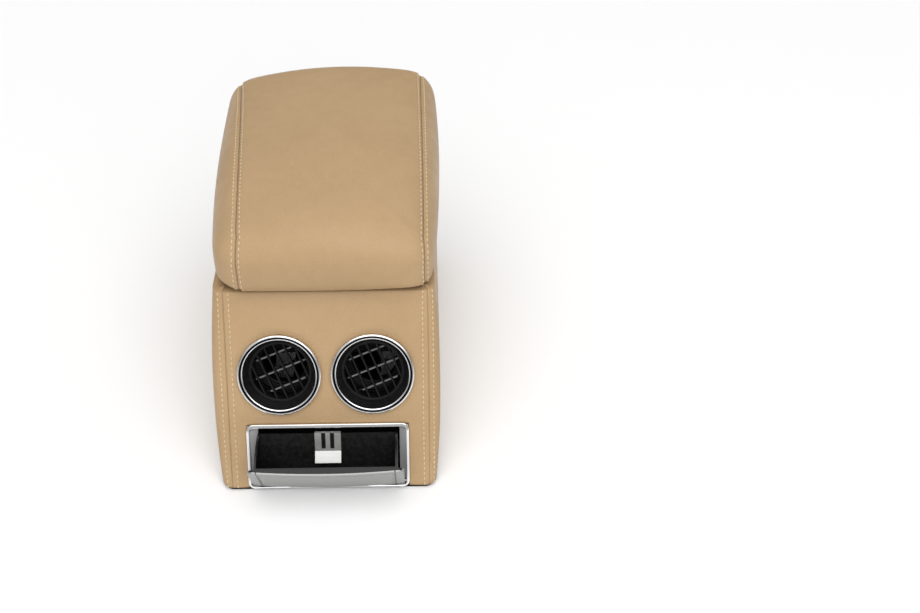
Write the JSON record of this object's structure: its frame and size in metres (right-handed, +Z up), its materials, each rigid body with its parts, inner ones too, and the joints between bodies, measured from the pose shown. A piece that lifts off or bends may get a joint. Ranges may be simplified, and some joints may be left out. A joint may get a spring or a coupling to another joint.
{
  "type": "car centre armrest",
  "caption": "Leather-covered car centre armrest box with a padded hinged lid over a storage bin, round turning air vents and a tilt-out ashtray in its leaning front.",
  "frame": {"origin": "centre of the four mounting holes, on the underside of the base", "axes": "+Z up, -Y towards the vents and ashtray, +X to the right as seen from the vents"},
  "size_m": [0.1872, 0.35, 0.2248],
  "materials": {
    "body_leather": "fine grained, satin",
    "lid_leather": "fine grained, satin",
    "chrome": "bright",
    "door_silver": "satin silver",
    "steel": "plain",
    "tray_plastic": "moulded black",
    "vent_plastic": "moulded black",
    "grille_plastic": "moulded dark grey",
    "louvre_plastic": "moulded grey",
    "shell_plastic": "moulded black",
    "bin_plastic": "moulded black",
    "rubber": "matt"
  },
  "bodies": {
    "console": {"body_shell": "shell_plastic", "base_plate": "shell_plastic", "base_screws": "steel", "storage_bin": "bin_plastic", "front_cover": "body_leather", "left_cover": "body_leather", "right_cover": "body_leather", "rear_cover": "body_leather", "left_vent_bezel": "chrome", "right_vent_bezel": "chrome", "left_vent_housing": "vent_plastic", "right_vent_housing": "vent_plastic", "ashtray_bezel": "chrome", "ashtray_housing": "vent_plastic", "hinge_body_leaf": "steel", "hinge_body_screws": "steel", "hinge_pin": "steel", "lid_buffers": "rubber"},
    "lid": {"lid_cushion": "lid_leather", "lid_pan": "shell_plastic", "lid_pan_screws": "steel", "hinge_lid_leaf": "steel", "hinge_lid_screws": "steel"},
    "ashtray": {"ashtray_door": "door_silver", "ashtray_tray": "tray_plastic", "ashtray_pivots": "steel", "stub_clip": "steel"},
    "left_drum": {"left_vent_drum": "grille_plastic"},
    "left_louvre_middle": {"left_vent_louvre_middle": "louvre_plastic"},
    "left_louvre_upper": {"left_vent_louvre_upper": "louvre_plastic"},
    "left_louvre_lower": {"left_vent_louvre_lower": "louvre_plastic"},
    "left_link": {"left_vent_link_bar": "vent_plastic"},
    "right_drum": {"right_vent_drum": "grille_plastic"},
    "right_louvre_middle": {"right_vent_louvre_middle": "louvre_plastic"},
    "right_louvre_upper": {"right_vent_louvre_upper": "louvre_plastic"},
    "right_louvre_lower": {"right_vent_louvre_lower": "louvre_plastic"},
    "right_link": {"right_vent_link_bar": "vent_plastic"}
  },
  "joints": [
    {"name": "lid_hinge", "type": "hinge", "parent": "console", "child": "lid", "pos_m": [0, 0.1634, 0.1534], "axis": [-1, 0, 0], "range_deg": [0, 95]},
    {"name": "ashtray_tilt", "type": "hinge", "parent": "console", "child": "ashtray", "pos_m": [0, -0.15624, 0.00663], "axis": [1, 0, 0], "range_deg": [-55, 0]},
    {"name": "left_drum_turn", "type": "hinge", "parent": "console", "child": "left_drum", "pos_m": [-0.0372, -0.11774, 0.09063], "axis": [0, -0.9063, 0.4226], "continuous": true},
    {"name": "left_louvre_middle_tilt", "type": "hinge", "parent": "left_drum", "child": "left_louvre_middle", "pos_m": [-0.0372, -0.10197, 0.08328], "axis": [0.9272, 0.1583, 0.3395], "range_deg": [-30, 30]},
    {"name": "left_louvre_upper_tilt", "type": "hinge", "parent": "left_drum", "child": "left_louvre_upper", "pos_m": [-0.04244, -0.09648, 0.09504], "axis": [0.9272, 0.1583, 0.3395], "range_deg": [-30, 30]},
    {"name": "left_louvre_lower_tilt", "type": "hinge", "parent": "left_drum", "child": "left_louvre_lower", "pos_m": [-0.03196, -0.10745, 0.07151], "axis": [0.9272, 0.1583, 0.3395], "range_deg": [-30, 30]},
    {"name": "left_link_pivot", "type": "hinge", "parent": "left_louvre_middle", "child": "left_link", "pos_m": [-0.0372, -0.09562, 0.08032], "axis": [0.9272, 0.1583, 0.3395], "range_deg": [-30, 30]},
    {"name": "right_drum_turn", "type": "hinge", "parent": "console", "child": "right_drum", "pos_m": [0.0372, -0.11774, 0.09063], "axis": [0, -0.9063, 0.4226], "continuous": true},
    {"name": "right_louvre_middle_tilt", "type": "hinge", "parent": "right_drum", "child": "right_louvre_middle", "pos_m": [0.0372, -0.10197, 0.08328], "axis": [0.9272, 0.1583, 0.3395], "range_deg": [-30, 30]},
    {"name": "right_louvre_upper_tilt", "type": "hinge", "parent": "right_drum", "child": "right_louvre_upper", "pos_m": [0.03196, -0.09648, 0.09504], "axis": [0.9272, 0.1583, 0.3395], "range_deg": [-30, 30]},
    {"name": "right_louvre_lower_tilt", "type": "hinge", "parent": "right_drum", "child": "right_louvre_lower", "pos_m": [0.04244, -0.10745, 0.07151], "axis": [0.9272, 0.1583, 0.3395], "range_deg": [-30, 30]},
    {"name": "right_link_pivot", "type": "hinge", "parent": "right_louvre_middle", "child": "right_link", "pos_m": [0.0372, -0.09562, 0.08032], "axis": [0.9272, 0.1583, 0.3395], "range_deg": [-30, 30]}
  ],
  "couplings": [
    {"joint": "left_louvre_upper_tilt", "follows": "left_louvre_middle_tilt", "ratio": 1},
    {"joint": "left_louvre_lower_tilt", "follows": "left_louvre_middle_tilt", "ratio": 1},
    {"joint": "left_link_pivot", "follows": "left_louvre_middle_tilt", "ratio": -1},
    {"joint": "right_louvre_upper_tilt", "follows": "right_louvre_middle_tilt", "ratio": 1},
    {"joint": "right_louvre_lower_tilt", "follows": "right_louvre_middle_tilt", "ratio": 1},
    {"joint": "right_link_pivot", "follows": "right_louvre_middle_tilt", "ratio": -1}
  ]
}
